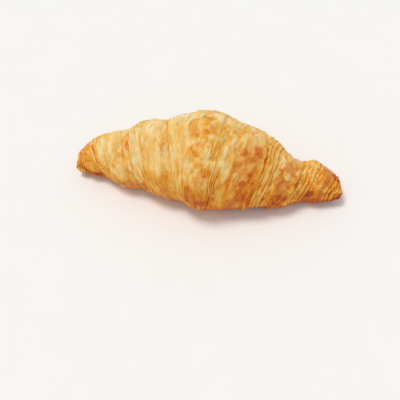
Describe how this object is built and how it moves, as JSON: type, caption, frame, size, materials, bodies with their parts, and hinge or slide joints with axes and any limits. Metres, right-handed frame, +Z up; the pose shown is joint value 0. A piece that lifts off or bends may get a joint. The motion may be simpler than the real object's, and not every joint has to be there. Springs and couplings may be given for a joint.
{
  "type": "croissant",
  "caption": "Baked croissant: a spindle of rolled laminated dough with spiral seams, stepped flaky sheet edges, blunt tips and a flat sole to rest on.",
  "frame": {"origin": "middle of the bounding box on the surface that the croissant rests on", "axes": "+X along the croissant's length, from the slimmer drawn-out tip to the blunt one; +Z up; the front with the tucked tongue faces -Y"},
  "size_m": [0.1826, 0.072, 0.049],
  "materials": {
    "crust": "dry flaky baked crust, straw yellow with golden-brown patches, faint egg-wash sheen"
  },
  "bodies": {
    "root": {"croissant": "crust"}
  },
  "joints": []
}
